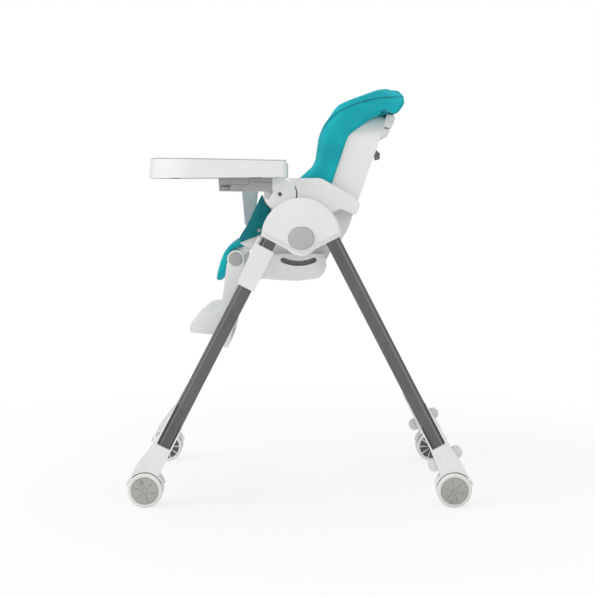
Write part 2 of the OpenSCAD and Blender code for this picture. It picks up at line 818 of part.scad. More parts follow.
// Snap studs of the side flaps and screws of the tray arm pivots
module seat_studs() {
    color(mid) both() {
        bar(rec_y - 110, rec_z + 27.5, stud_r - 1, tub_x, tub_x + flap_t);
        bar(rec_y - 110, rec_z + 27.5, stud_r, tub_x + flap_t, tub_x + flap_t + 1.5);
        difference() {
            bar(arm_y, arm_z, 5, rail_out - 3, rail_out - 0.8);
            translate([rail_out - 0.8, arm_y, arm_z]) cube([2, 7, 1.6], center = true);
            translate([rail_out - 0.8, arm_y, arm_z]) cube([2, 1.6, 7], center = true);
        }
    }
}

// ---- backrest ----
module back_side(k) {
    difference() {
        shape([[wing_front - k, 75 - k, 12], [wing_front - 3 - k, back_len - 86, 60], [60 - k, back_len - 26 + k, 80],
               [back_depth - 5, back_len + k, 7], [back_depth + k, back_len - 13 + k, 5], [back_depth + k, 64, 40],
               [back_depth - 8 + k, 31 - k, 3], [68, 24 - k, 3], [50, 66, 0]]);
        circle(heel_r + 1.6);
    }
}
module back_front(k) {
    shape([[k - back_x, -60, 0], [back_x - k, -60, 0], [back_x - k, back_len - k, back_round - k],
           [k - back_x, back_len - k, back_round - k]]);
}
module back_shell() {
    color(white) on_back() {
        difference() {
            union() {
                intersection() {
                    side(-back_x, back_x) back_side(0);
                    front(-100, 200) back_front(0);
                }
                side(-head_w/2, head_w/2) shape([[back_depth - 2, back_len - head_h, 0],
                    [back_depth + head_depth - 3, back_len - head_h + 1, 6], [back_depth + head_depth + 1, back_len - 20, 0],
                    [back_depth + head_depth + 1, back_len + 5, 7], [back_depth - 2, back_len + 1, 0]]);
                both() side(lever_w/2 - 16, lever_w/2 - 10) shape([[back_depth - 2, back_len - 108, 0],
                    [back_depth + 10, back_len - 102, 5], [back_depth + 10, back_len - 92, 5], [back_depth - 2, back_len - 86, 0]]);
                both() {
                    bar(0, 0, ear_r, back_x - back_t, tub_in - 0.5);
                    side(back_x - back_t, back_x + 6) polygon([[-20, 6], [wing_front - 8, 116], [wing_front + 32, 116], [24, 4]]);
                }
            }
            intersection() {
                translate([-200, -100, -80]) cube([400, 100 + back_depth - back_t, 600]);
                front(-100, 200) back_front(back_t);
            }
            side(-head_w/2 - 1, head_w/2 + 1) translate([back_depth + 3, back_len - 35]) square([60, 5.5]);
            both() bar(0, 0, ear_pin_r + pin_fit, tub_in - 30, tub_in + 2);
            for (x = [-70, 0, 70]) translate([x, back_depth, 210]) rotate([90, 0, 0]) linear_extrude(20, center = true) block(34, 9, 4.4);
        }
        bar(back_depth + 5, back_len - 97, 2.5, -lever_w/2 + 3, lever_w/2 - 3);
    }
}
module recline_lever() {
    color(grey) on_back() difference() {
        side(-lever_w/2, lever_w/2) shape([[back_depth + 1, back_len - 103, 2], [back_depth + 3.5, back_len - 88, 3],
            [back_depth + 19, back_len - 95, 4], [back_depth + 23, back_len - 109, 2], [back_depth + 17, back_len - 113, 2],
            [back_depth + 13, back_len - 106, 4]]);
        bar(back_depth + 5, back_len - 97, 2.5 + pin_fit, -lever_w/2 + 2.5, lever_w/2 - 2.5);
        both() side(lever_w/2 - 16 - face_fit, lever_w/2 - 10 + face_fit)
            translate([back_depth - 2, back_len - 116]) square([14, 32]);
    }
}
module pad_side() {
    shape([[-bolster_front - 20, 74, 20], [-bolster_front - 21, 138, 26], [-bolster_front + 10, 196, 60], [-bolster_front - 6, 284, 60],
           [-bolster_front + 14, 345, 60], [56, pad_top - 12, 90], [110, pad_top + 6, 18], [127, pad_top - 28, 14],
           [118, back_len + 9, 6], [back_depth - 20, back_len + 3, 0], [back_depth - 20, 74, 0]]);
}
module pad_front(k) {
    shape([[k - back_x, 40, 0], [back_x - k, 40, 0], [back_x - k, pad_top + 20, back_round + 10], [k - back_x, pad_top + 20, back_round + 10]]);
}
pad_back = back_depth - back_t - soft_gap;
module shell_void() {
    difference() {
        side(-back_x - 1, back_x + 1) back_side(soft_gap);
        front(-200, 300) back_front(back_t + soft_gap);
    }
    translate([-200, pad_back, -80]) cube([400, 200, 80 + back_len + soft_gap + 3]);
    both() translate([back_x - back_t - soft_gap - 0.6, -40, -60]) cube([60, 140, 60 + 118]);
}
module bolster() {
    on_back() difference() {
        intersection() {
            side(back_x - bolster_t, back_x) pad_side();
            front(-200, 300) pad_front(0);
        }
        shell_void();
        rotate([back_tilt, 0, 0]) translate([0, -300, -200]) cube([300, 600, 200 + 62]);
    }
}
module bolster_left() {
    color(teal) bolster();
}
module bolster_right() {
    color(teal) on(-1) bolster();
}
module back_cushion() {
    x = back_x - bolster_t - soft_gap;
    color(teal) on_back() difference() {
        side(-x, x) shape([[pad_back - back_pad_t, 70, 10], [pad_back - back_pad_t, back_len - 70, 60], [20, back_len + 6, 50],
            [56, pad_top - 14, 60], [110, pad_top + 3, 18], [126, pad_top - 28, 14], [118, back_len + 9, 6],
            [pad_back, back_len + 4, 0], [pad_back, 70, 6]]);
        difference() {
            side(-back_x - 1, back_x + 1) back_side(soft_gap + 0.3);
            front(-200, 300) back_front(back_t + soft_gap + 0.3);
        }
    }
}

// ---- leg rest ----
module at_rest() {
    translate([rest_y, rest_z]) children();
}
module shin_outline() {
    shape([[-ring_r, -6, 10], [-ring_r - 15, -shin_len + 28, 18], [-ring_r - 20, -shin_len + 17, 0], [-ring_r - 22, -shin_len - 20, 0],
           [-31, -shin_len - 78, 6], [-18, -shin_len - 74, 8], [-2, -shin_len + 2, 40], [ring_r - 1, -50, 60], [ring_r, 0, 0]]);
    circle(ring_r);
}
module leg_rest() {
    in_x = rest_x - cheek_t;
    color(white) difference() {
        side(-rest_x, rest_x) at_rest() shin_outline();
        side(-in_x, in_x) at_rest() {
            translate([-80, -36]) square([160, 100]);
            shape([[-ring_r + shin_t, -4, 10], [-ring_r - 15 + shin_t, -shin_len + 28, 18], [-ring_r - 22 + shin_t, -shin_len - 16, 10],
                   [-34 + shin_t, -shin_len - 70, 6], [80, -shin_len - 90, 0], [80, 0, 0]]);
        }
        both() {
            bar(rest_y, rest_z, rest_pin_r + pin_fit, 0, rest_x + 1);
            bar(rest_y, rest_z, rest_button_r + 0.4, rest_x - 7, rest_x + 1);
        }
    }
}
module foot_plate() {
    color(white) difference() {
        side(-rest_x, rest_x) at_rest() shape([[-ring_r - 20, -shin_len + 17, 0], [-ring_r - 62, -shin_len + 11, 30],
            [-toe_reach, -shin_len - 17, 14], [-toe_reach + 1, -shin_len - 17 - toe_t, 6], [-64, -shin_len - 42, 40],
            [-ring_r - 16, -shin_len - 50, 0], [-ring_r - 22, -shin_len - 20, 0]]);
        side(-rest_x + cheek_t, rest_x - cheek_t) at_rest() translate([0, -5]) shape([[-ring_r - 27, -shin_len + 10, 8], [-ring_r - 62, -shin_len + 5, 26],
            [-toe_reach + 5, -shin_len - 16, 8], [-toe_reach + 5, -shin_len - 60, 0], [-ring_r - 27, -shin_len - 60, 0]]);
    }
}
module rest_button() {
    bar(rest_y, rest_z, rest_button_r, rest_x - 7 + rest_button_travel + 0.3, rest_x + 1);
    bar(rest_y, rest_z, rest_button_r - 1.5, rest_x + 1, rest_x + 2);
}
module rest_button_left() {
    color(mid) rest_button();
}
module rest_button_right() {
    color(mid) on(-1) rest_button();
}
module calf_pad() {
    color(teal) difference() {
        side(-rest_x + 1, rest_x - 1) at_rest() difference() {
            union() {
                difference() {
                    circle(24 + tail_t);
                    polygon([[0, 0], 90*[cos(100), sin(100)], [90, 90], [90, -90], [-90, -90], 90*[cos(204), sin(204)]]);
                }
                shape([[-24 - tail_t, 2, 0], 33*[cos(196), sin(196)], 33*[cos(207), sin(207)], 40*[cos(207), sin(207)],
                       [-47, -36, 14], [-53, -54, 3], [-45, -60, 4], [-28, -46, 6], [-23, -12, 4], [-10, 6, 0]]);
            }
            circle(24);
        }
        both() translate([rest_x - cheek_t - face_fit - 18, rest_y, rest_z]) side(0, 20) polygon([[0, 0], 60*[cos(40), sin(40)], [0, 90], 70*[cos(152), sin(152)]]);
    }
}

// ---- tray ----
module tray_arm() {
    difference() {
        bar(arm_y, arm_z, disc_r, tub_x + 0.5, rail_out);
        side(rail_in, rail_out + 1) translate([arm_y - disc_r - 5, arm_z + 6.5]) square([disc_r + 5 - block_y, disc_r]);
        side(rail_out - 12, rail_out + 1) translate([arm_y, arm_z])
            polygon([[-disc_r - 2, 8], [1 - block_y, 8], [1 - block_y, 4], [-29, -13], [-36, -8], [-disc_r - 2, 2]]);
        bar(arm_y, arm_z, 8 + pin_fit, tub_x - 1, rail_out - 2.95);
        bar(arm_y, arm_z, 5.2, rail_out - 4, rail_out + 1);
    }
}
// Block and tongue that the tray slides on
module tray_rail() {
    difference() {
        side(rail_in, rail_out) translate([arm_y, arm_z]) {
            translate([-block_len, 6.5]) square([block_len - block_y, disc_r - 6.5]);
            shape([[-block_len + 1, 6.5, 0], [-block_len + 1, 6.5 + rail_h, 0],
                   [-block_len - rail_len, 6.5 + rail_h, 3], [-block_len - rail_len, 6.5, 3]]);
        }
        side(rail_in - 1, rail_in + 4.5) translate([arm_y - block_len - rail_len - 1, arm_z + 11.7]) square([rail_len + 34, 6.6]);
        side(rail_out - 1.5, rail_out + 1) translate([arm_y - block_len + 6, arm_z + 29]) square([block_len - block_y - 8, 1.6]);
        side(rail_out - 1.5, rail_out + 1) translate([arm_y - block_len - rail_len + 9, arm_z + 10]) square([22, 9]);
    }
}
module tray_arm_left() {
    color(white) tray_arm();
}
module tray_arm_right() {
    color(white) on(-1) tray_arm();
}
module tray_rail_left() {
    color(mid) tray_rail();
}
module tray_rail_right() {
    color(mid) on(-1) tray_rail();
}
horn = tub_x + arm_w + 6;
function half_tray(k) = [[tray_x - k, front_y + 44 + k, 110 - k], [tray_x - k, rear_y - k, 12 - 0.8*k], [horn + k, rear_y - k, 6 - 0.3*k],
    [horn + k, rear_y - 33 - k, 4], [tub_x - 12, rear_y - 33 - k, 30], [tub_x - 68, rear_y - waist + 26 - k, 60]];
function flip(pts) = [for (i = [len(pts) - 1:-1:0]) [-pts[i][0], pts[i][1], pts[i][2]]];
module tray_plan(k) {
    shape(concat([[0, front_y - 8 + k, 560]], half_tray(k), flip(half_tray(k))));
}
module slab(z0, z1) {
    translate([0, 0, z0]) linear_extrude(z1 - z0) children();
}
guide_y = arm_y - block_len - 0.4;
module tray() {
    color(white) {
        difference() {
            slab(tray_under, tray_top - rim_h) tray_plan(0);
            slab(tray_under - 1, tray_bed - tray_t) tray_plan(tray_t);
            slab(tray_bed, tray_top) tray_plan(insert_gap);
            both() translate([tub_in - 2, rear_y - 66, tray_under - 1]) cube([horn - tub_in, 60, 13]);
        }
        both() {
            translate([rail_in - 9, guide_y - 76, arm_z + 6.5 + rail_h + 0.5])
                cube([rail_w + 9, 76, tray_bed - tray_t - arm_z - 7 - rail_h]);
            translate([rail_in - 9, guide_y - 76, arm_z + 7]) cube([8.5, 108, tray_bed - tray_t - arm_z - 7]);
            translate([rail_in - 2, guide_y - 76, arm_z + 12.2]) cube([6, 104, 5.6]);
        }
    }
}
module crotch_post() {
    color(shade) side(-post_w/2, post_w/2) at_rec() shape([[-165, tray_bed - tray_t - rec_z, 0], [-153, 32, 10],
        [-129, 32, 10], [-113, tray_bed - tray_t - rec_z, 0]]);
}
module tray_insert() {
    k = insert_gap + 0.6;
    color(white) difference() {
        union() {
            slab(tray_top - rim_h, tray_top) tray_plan(1);
            slab(tray_top - well_drop - 2.4, tray_top - rim_h) tray_plan(k);
        }
        slab(tray_top - well_drop, tray_top + 1) tray_plan(k + 3);
    }
}

front_leg_left();
front_leg_right();
front_bar();
hub_housing_left();
hub_housing_right();
hub_cover_left();
hub_cover_right();
hub_back_left();
hub_back_right();
fold_button_left();
fold_button_right();
foot_front_left();
foot_front_right();
front_axles();
rear_leg_left();
rear_leg_right();
rear_bar();
knuckle_left();
knuckle_right();
foot_rear_left();
foot_rear_right();
rear_pins();
brake_left();
brake_right();
wheel_front_left();
wheel_front_right();
wheel_rear_left();
wheel_rear_right();
caps_front_left();
caps_front_right();
caps_rear_left();
caps_rear_right();
seat_tub();
under_pan();
carrier_left();
carrier_right();
armrest_left();
armrest_right();
seat_cushion();
seat_flap_left();
seat_flap_right();
seat_studs();
back_shell();
recline_lever();
back_cushion();
bolster_left();
bolster_right();
leg_rest();
foot_plate();
rest_button_left();
rest_button_right();
calf_pad();
tray_arm_left();
tray_arm_right();
tray_rail_left();
tray_rail_right();
tray();
crotch_post();
tray_insert();
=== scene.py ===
import json
from math import cos, exp, radians, sin, sqrt
import bpy
import numpy as np
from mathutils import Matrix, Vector


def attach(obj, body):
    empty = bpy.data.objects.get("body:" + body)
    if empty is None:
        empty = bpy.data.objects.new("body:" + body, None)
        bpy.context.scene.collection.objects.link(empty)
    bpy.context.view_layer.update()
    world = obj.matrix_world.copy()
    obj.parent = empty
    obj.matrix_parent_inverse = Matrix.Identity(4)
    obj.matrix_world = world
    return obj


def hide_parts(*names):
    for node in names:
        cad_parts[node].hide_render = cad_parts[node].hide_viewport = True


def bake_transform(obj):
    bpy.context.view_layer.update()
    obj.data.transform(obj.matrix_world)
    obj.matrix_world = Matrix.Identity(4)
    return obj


# Folding baby high chair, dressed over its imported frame.
# Metres, +Z up. The sitter faces -Y, with the left side at +X.

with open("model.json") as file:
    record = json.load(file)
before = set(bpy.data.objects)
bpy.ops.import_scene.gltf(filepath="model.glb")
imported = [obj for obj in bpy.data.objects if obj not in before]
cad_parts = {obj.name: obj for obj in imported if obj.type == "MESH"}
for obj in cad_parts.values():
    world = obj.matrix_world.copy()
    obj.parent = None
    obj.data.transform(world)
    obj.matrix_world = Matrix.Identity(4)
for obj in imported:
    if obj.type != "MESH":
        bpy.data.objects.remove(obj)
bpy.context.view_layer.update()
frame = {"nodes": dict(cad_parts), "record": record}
nodes = frame["nodes"]
moving = frame["record"]["behaviour"]
bodyOf = {node: body for body, members in moving["bodies"].items() for node in members}
jointOf = {joint["name"]: joint for joint in moving["joints"]}
slotOf = {row["node"]: row["material_slot"] for row in frame["record"]["subparts"]}
mm = 0.001


def deselect():
    if bpy.context.object and bpy.context.object.mode != "OBJECT":
        bpy.ops.object.mode_set(mode="OBJECT")
    bpy.ops.object.select_all(action="DESELECT")


def pick(piece):
    deselect()
    piece.select_set(True)
    bpy.context.view_layer.objects.active = piece


def useModifier(piece, kind, **settings):
    modifier = piece.modifiers.new(kind, kind)
    for name, value in settings.items():
        setattr(modifier, name, value)
    pick(piece)
    bpy.ops.object.modifier_apply(modifier=modifier.name)


def smooth(piece, angle=40):
    pick(piece)
    bpy.ops.object.shade_smooth_by_angle(angle=radians(angle))


def camelName(node):
    first, *rest = node.split("_")
    return first + "".join(word.capitalize() for word in rest)


def sidesOf(stem):
    return [node for node in (stem, stem + "_left", stem + "_right") if node in nodes]


def share(value):
    return min(1, max(0, value))


def copyOfNode(node):
    # the copy's loose triangles are merged, and flat ones joined, so that its edges can be worked
    piece = bpy.data.objects.new(camelName(node), nodes[node].data.copy())
    bpy.context.collection.objects.link(piece)
    piece.data.materials.clear()
    pick(piece)
    bpy.ops.object.mode_set(mode="EDIT")
    bpy.ops.mesh.select_all(action="SELECT")
    bpy.ops.mesh.remove_doubles(threshold=0.02 * mm)
    bpy.ops.mesh.dissolve_limited(angle_limit=radians(0.6))
    bpy.ops.object.mode_set(mode="OBJECT")
    return piece


def finishPiece(piece, material, body, slotName, *replaced):
    piece.data.materials.clear()
    piece.data.materials.append(material)
    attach(piece, body)
    if replaced:
        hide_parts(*replaced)
    return piece


# materials, whose colours are sRGB hex values
def linear(hexColour):
    channels = [int(hexColour[i:i + 2], 16) / 255 for i in (1, 3, 5)]
    return [c / 12.92 if c <= 0.04045 else ((c + 0.055) / 1.055) ** 2.4 for c in channels] + [1]


def addNode(tree, kind, settings=None, links=None, **options):
    node = tree.nodes.new(kind)
    for name, value in options.items():
        setattr(node, name, value)
    for socket, value in (settings or {}).items():
        node.inputs[socket].default_value = value
    for socket, source in (links or {}).items():
        tree.links.new(source, node.inputs[socket])
    return node


def startMaterial(name, **shaderSettings):
    material = bpy.data.materials.new(name)
    material.use_nodes = True
    tree = material.node_tree
    shader = tree.nodes["Principled BSDF"]
    for socket, value in shaderSettings.items():
        shader.inputs[socket.replace("_", " ")].default_value = value
    place = addNode(tree, "ShaderNodeTexCoord").outputs["Object"]
    return material, tree, shader, place


def shiftColour(tree, shader, look, pattern, low=0.35, high=0.65):
    # the RGBA sockets of a Mix node share their names with others, so they are set by place
    ramp = addNode(tree, "ShaderNodeMapRange", {"From Min": low, "From Max": high}, {"Value": pattern})
    mix = addNode(tree, "ShaderNodeMix", {6: linear(look["darker"]), 7: linear(look["base"])},
                  {0: ramp.outputs["Result"]}, data_type="RGBA")
    tree.links.new(mix.outputs[2], shader.inputs["Base Color"])
    return mix.outputs[2]


def shiftRoughness(tree, shader, pattern, least, most, low=0.3, high=0.7):
    ramp = addNode(tree, "ShaderNodeMapRange",
                   {"From Min": low, "From Max": high, "To Min": least, "To Max": most}, {"Value": pattern})
    tree.links.new(ramp.outputs["Result"], shader.inputs["Roughness"])


# broad shifts of colour and gloss, in waves per metre
cloudScale = {"moulded": 9.0, "gloss": 38.0, "tube": 14.0, "cloth": 16.0, "warp": 260.0, "scratch": 420.0}

mouldedLook = {
    # grain in mm; a real mould's spark grain is about 0.1 mm, too fine to show, so it is drawn coarser
    "white": {"base": "#f1f2f1", "darker": "#eceeed", "roughness": 0.36, "grain": 1.1, "bump": 0.05},
    "pale": {"base": "#e4e6e6", "darker": "#dbdedf", "roughness": 0.40, "grain": 1.2, "bump": 0.06},
    "grey": {"base": "#b5b5b2", "darker": "#acaca9", "roughness": 0.42, "grain": 1.0, "bump": 0.08},
    "button": {"base": "#bfbfbd", "darker": "#b7b7b5", "roughness": 0.40, "grain": 1.0, "bump": 0.06},
    "cap": {"base": "#b7b5af", "darker": "#adaba5", "roughness": 0.46, "grain": 0.9, "bump": 0.12},
    "dark": {"base": "#6b6c6e", "darker": "#626365", "roughness": 0.45, "grain": 1.0, "bump": 0.08},
    "tread": {"base": "#efefec", "darker": "#e6e6e2", "roughness": 0.50, "grain": 1.4, "bump": 0.08},
}


def mouldedPlastic(name, look):
    # injection-moulded plastic: near-even colour, fine spark grain, soft wide highlights
    material, tree, shader, place = startMaterial(name, IOR=1.49)
    cloud = addNode(tree, "ShaderNodeTexNoise", {"Scale": cloudScale["moulded"], "Detail": 3.0},
                    {"Vector": place})
    grain = addNode(tree, "ShaderNodeTexNoise", {"Scale": 1 / (look["grain"] * mm), "Detail": 2.0},
                    {"Vector": place})
    gloss = addNode(tree, "ShaderNodeTexNoise",
                    {"Scale": cloudScale["gloss"], "Detail": 4.0, "Roughness": 0.6}, {"Vector": place})
    shiftColour(tree, shader, look, cloud.outputs["Fac"])
    shiftRoughness(tree, shader, gloss.outputs["Fac"], look["roughness"] - 0.05, look["roughness"] + 0.07)
    bump = addNode(tree, "ShaderNodeBump", {"Strength": look["bump"], "Distance": 0.4 * mm},
                   {"Height": grain.outputs["Fac"]})
    tree.links.new(bump.outputs["Normal"], shader.inputs["Normal"])
    return material


tubeLook = {
    # peel in mm from crest to crest
    "base": "#636363", "darker": "#5b5b5c", "line": "#8b8b89", "roughness": 0.38, "peel": 1.6, "bump": 0.12,
    # the painted highlight, a pale stripe, runs down each leg, a quarter of its width in from the outer edge;
    # lengths in metres
    "legLine": 0.37473, "lineAt": 0.0092, "lineHalf": 0.0013,
}


def powderCoatedTube(look):
    # powder-coated steel tube: satin grey over a faint orange peel, with a painted highlight stripe down each
    # leg
    material, tree, shader, place = startMaterial("powderCoatedSteel", IOR=1.5, Coat_Weight=0.15,
                                                 Coat_Roughness=0.3)
    cloud = addNode(tree, "ShaderNodeTexNoise", {"Scale": cloudScale["tube"], "Detail": 3.0},
                    {"Vector": place})
    peel = addNode(tree, "ShaderNodeTexNoise", {"Scale": 1 / (look["peel"] * mm), "Detail": 1.0},
                   {"Vector": place})
    plain = shiftColour(tree, shader, look, cloud.outputs["Fac"])
    axes = addNode(tree, "ShaderNodeSeparateXYZ", None, {0: place}).outputs
    hubY = jointOf["fold"]["pos_m"][1]
    ahead = addNode(tree, "ShaderNodeMath", {1: hubY}, {0: axes["Y"]}, operation="SUBTRACT")
    out = addNode(tree, "ShaderNodeMath", None, {0: ahead.outputs[0]}, operation="ABSOLUTE")
    legOut, legUp = jointOf["seat_height"]["axis"][1:]  # the seat slides along the leg
    rise = addNode(tree, "ShaderNodeMath", {1: legOut, 2: -look["legLine"] - look["lineAt"]}, {0: axes["Z"]},
                   operation="MULTIPLY_ADD")
    across = addNode(tree, "ShaderNodeMath", {1: legUp}, {0: out.outputs[0], 2: rise.outputs[0]},
                     operation="MULTIPLY_ADD")
    near = addNode(tree, "ShaderNodeMath", None, {0: across.outputs[0]}, operation="ABSOLUTE")
    # the painted highlight's stripe, by its distance across the leg
    line = addNode(tree, "ShaderNodeMapRange", {"From Min": look["lineHalf"] * 0.4, "To Min": 0.85,
                   "From Max": look["lineHalf"] * 1.6, "To Max": 0.0}, {"Value": near.outputs[0]})
    highlightedColour = addNode(tree, "ShaderNodeMix", {7: linear(look["line"])}, {0: line.outputs["Result"], 6: plain},
                    data_type="RGBA")
    tree.links.new(highlightedColour.outputs[2], shader.inputs["Base Color"])
    shiftRoughness(tree, shader, cloud.outputs["Fac"], look["roughness"] - 0.04, look["roughness"] + 0.06)
    bump = addNode(tree, "ShaderNodeBump", {"Strength": look["bump"], "Distance": 0.4 * mm},
                   {"Height": peel.outputs["Fac"]})
    tree.links.new(bump.outputs["Normal"], shader.inputs["Normal"])
    return material


steelLook = {"base": "#c9c9cb", "darker": "#aeaeb1", "smoothest": 0.22, "roughest": 0.42}


def turnedSteel(look):
    # zinc-plated steel pins and studs: bright, with fine turning marks round them
    material, tree, shader, place = startMaterial("zincPlatedSteel", Metallic=1.0)
    scratch = addNode(tree, "ShaderNodeTexNoise", {"Scale": cloudScale["scratch"], "Detail": 3.0},
                      {"Vector": place})
    shiftColour(tree, shader, look, scratch.outputs["Fac"])
    shiftRoughness(tree, shader, scratch.outputs["Fac"], look["smoothest"], look["roughest"], 0.0, 1.0)
    return material


# dark is painted shade in the recesses between the spokes
hubPaintedShadeLook = {"dark": "#565658", "spoke": "#d9d9d6", "spokes": 10, "width": 0.30}


def spokedHub(look):
    # glass-filled nylon hub: pale moulded spokes, with painted shade, dark and dull, in the recesses between
    # them, counted round each axle
    material, tree, shader, place = startMaterial("spokedHub", Roughness=0.55, IOR=1.5)
    axleY, axleZ = jointOf["roll_rear_left"]["pos_m"][1:]
    axes = addNode(tree, "ShaderNodeSeparateXYZ", None, {0: place}).outputs
    reach = addNode(tree, "ShaderNodeMath", None, {0: axes["Y"]}, operation="ABSOLUTE")
    along = addNode(tree, "ShaderNodeMath", {1: axleY}, {0: reach.outputs[0]}, operation="SUBTRACT")
    above = addNode(tree, "ShaderNodeMath", {1: axleZ}, {0: axes["Z"]}, operation="SUBTRACT")
    angle = addNode(tree, "ShaderNodeMath", None, {0: above.outputs[0], 1: along.outputs[0]},
                    operation="ARCTAN2")
    turns = addNode(tree, "ShaderNodeMath", {1: look["spokes"] / 2}, {0: angle.outputs[0]},
                    operation="MULTIPLY")
    wave = addNode(tree, "ShaderNodeMath", None, {0: turns.outputs[0]}, operation="SINE")
    fold = addNode(tree, "ShaderNodeMath", None, {0: wave.outputs[0]}, operation="ABSOLUTE")
    spoke = addNode(tree, "ShaderNodeMapRange",
                    {"From Min": look["width"] * 0.8, "From Max": look["width"] * 1.2},
                    {"Value": fold.outputs[0]})
    mix = addNode(tree, "ShaderNodeMix", {6: linear(look["spoke"]), 7: linear(look["dark"])},
                  {0: spoke.outputs["Result"]}, data_type="RGBA")
    tree.links.new(mix.outputs[2], shader.inputs["Base Color"])
    raised = addNode(tree, "ShaderNodeMath", {0: 1.0}, {1: spoke.outputs["Result"]}, operation="SUBTRACT")
    bump = addNode(tree, "ShaderNodeBump", {"Strength": 0.6, "Distance": 1.0 * mm},
                   {"Height": raised.outputs[0]})
    tree.links.new(bump.outputs["Normal"], shader.inputs["Normal"])
    return material


clothLook = {
    # colours of each cloth, and the grain and puckers of all of them in mm
    "cover": {"base": "#02b2bc", "darker": "#02a2ad"},
    "piping": {"base": "#0f7f8c", "darker": "#0c6f7b"},
    # the seat flap's colours are the cover's, darkened as painted shade for the shadow under the tray
    "flap": {"base": "#03838b", "darker": "#02757d"},
    "roughness": 0.52, "grain": 1.3, "pucker": 11.0,
}


def coatedCloth(name, colours):
    # polyurethane-coated cloth over foam: leather-like pebble grain, soft puckers, a little sheen
    material, tree, shader, place = startMaterial(name, IOR=1.45, Specular_IOR_Level=0.3, Sheen_Weight=0.04,
                                                 Sheen_Roughness=0.5)
    cloud = addNode(tree, "ShaderNodeTexNoise", {"Scale": cloudScale["cloth"], "Detail": 4.0},
                    {"Vector": place})
    warp = addNode(tree, "ShaderNodeTexNoise", {"Scale": cloudScale["warp"], "Detail": 2.0},
                   {"Vector": place})
    shifted = addNode(tree, "ShaderNodeVectorMath", {"Scale": 1.1 * mm}, {0: warp.outputs["Color"]},
                      operation="SCALE")
    bent = addNode(tree, "ShaderNodeVectorMath", None, {0: place, 1: shifted.outputs["Vector"]},
                   operation="ADD")
    pebble = addNode(tree, "ShaderNodeTexVoronoi", {"Scale": 1 / (clothLook["grain"] * mm)},
                     {"Vector": bent.outputs["Vector"]}, feature="DISTANCE_TO_EDGE")
    crease = addNode(tree, "ShaderNodeMapRange", {"From Min": 0.0, "From Max": 0.16},
                     {"Value": pebble.outputs["Distance"]}).outputs["Result"]
    shiftColour(tree, shader, colours, cloud.outputs["Fac"])
    shiftRoughness(tree, shader, crease, clothLook["roughness"] + 0.12, clothLook["roughness"], 0.0, 1.0)
    pucker = addNode(tree, "ShaderNodeTexNoise", {"Scale": 1 / (clothLook["pucker"] * mm), "Detail": 2.0},
                     {"Vector": place})
    softBump = addNode(tree, "ShaderNodeBump", {"Strength": 0.22, "Distance": 1.8 * mm},
                       {"Height": pucker.outputs["Fac"]})
    bump = addNode(tree, "ShaderNodeBump", {"Strength": 0.25, "Distance": 0.3 * mm},
                   {"Height": crease, "Normal": softBump.outputs["Normal"]})
    tree.links.new(bump.outputs["Normal"], shader.inputs["Normal"])
    return material


finishes = {
    "white_plastic": mouldedPlastic("whitePolypropylene", mouldedLook["white"]),
    "pale_plastic": mouldedPlastic("palePolypropylene", mouldedLook["pale"]),
    "grey_plastic": mouldedPlastic("greyAbs", mouldedLook["grey"]),
    "dark_plastic": mouldedPlastic("darkAbs", mouldedLook["dark"]),
    "wheel_tread": mouldedPlastic("wheelPolymer", mouldedLook["tread"]),
    "frame_tube": powderCoatedTube(tubeLook),
    "steel": turnedSteel(steelLook),
    "teal_fabric": coatedCloth("tealCoatedCloth", clothLook["cover"]),
}
pipingCloth = coatedCloth("tealPiping", clothLook["piping"])
paintedShadeCloth = coatedCloth("tealFlapCloth", clothLook["flap"])
buttonPlastic = mouldedPlastic("paleGreyAbs", mouldedLook["button"])
capPlastic = mouldedPlastic("warmGreyAbs", mouldedLook["cap"])
hubWithPaintedShade = spokedHub(hubPaintedShadeLook)

for node, piece in nodes.items():
    piece.data.materials.clear()
    piece.data.materials.append(finishes[slotOf[node]])
print("materials done")

# moulded pieces: each gets the rounded edges of its real moulding, in mm
edgeRounding = {
    "hub_housing": 1.0, "hub_cover": 2.6, "hub_back": 0.8, "fold_button": 1.6, "foot_front": 1.6,
    "foot_rear": 1.6, "knuckle": 1.0, "brake": 1.6, "seat_tub": 1.0, "under_pan": 1.8, "carrier": 1.6,
    "armrest": 3.4, "back_shell": 1.8, "leg_rest": 2.4, "foot_plate": 2.4, "rest_button": 0.8, "tray_arm": 1.2,
    "tray": 1.6, "crotch_post": 4.0, "tray_insert": 0.8, "recline_lever": 0.8, "tray_rail": 0.9,
}


def roundEdges(node, width):
    piece = copyOfNode(node)
    useModifier(piece, "BEVEL", width=width * mm, segments=3, limit_method="ANGLE", angle_limit=radians(38),
                use_clamp_overlap=True, miter_outer="MITER_ARC")
    smooth(piece)
    useModifier(piece, "WEIGHTED_NORMAL", keep_sharp=True)
    return finishPiece(piece, finishes[slotOf[node]], bodyOf[node], slotOf[node], node)


def alsoFinish(piece, material, chosen):
    # faces picked by the place of their middle take one more finish
    piece.data.materials.append(material)
    for face in piece.data.polygons:
        if chosen(face.center, face.normal):
            face.material_index = len(piece.data.materials) - 1


moulded = {node: roundEdges(node, width) for stem, width in edgeRounding.items() for node in sidesOf(stem)}
for node in sidesOf("fold_button"):
    moulded[node].data.materials[0] = buttonPlastic
moulded["under_pan"].data.materials[0] = finishes["white_plastic"]

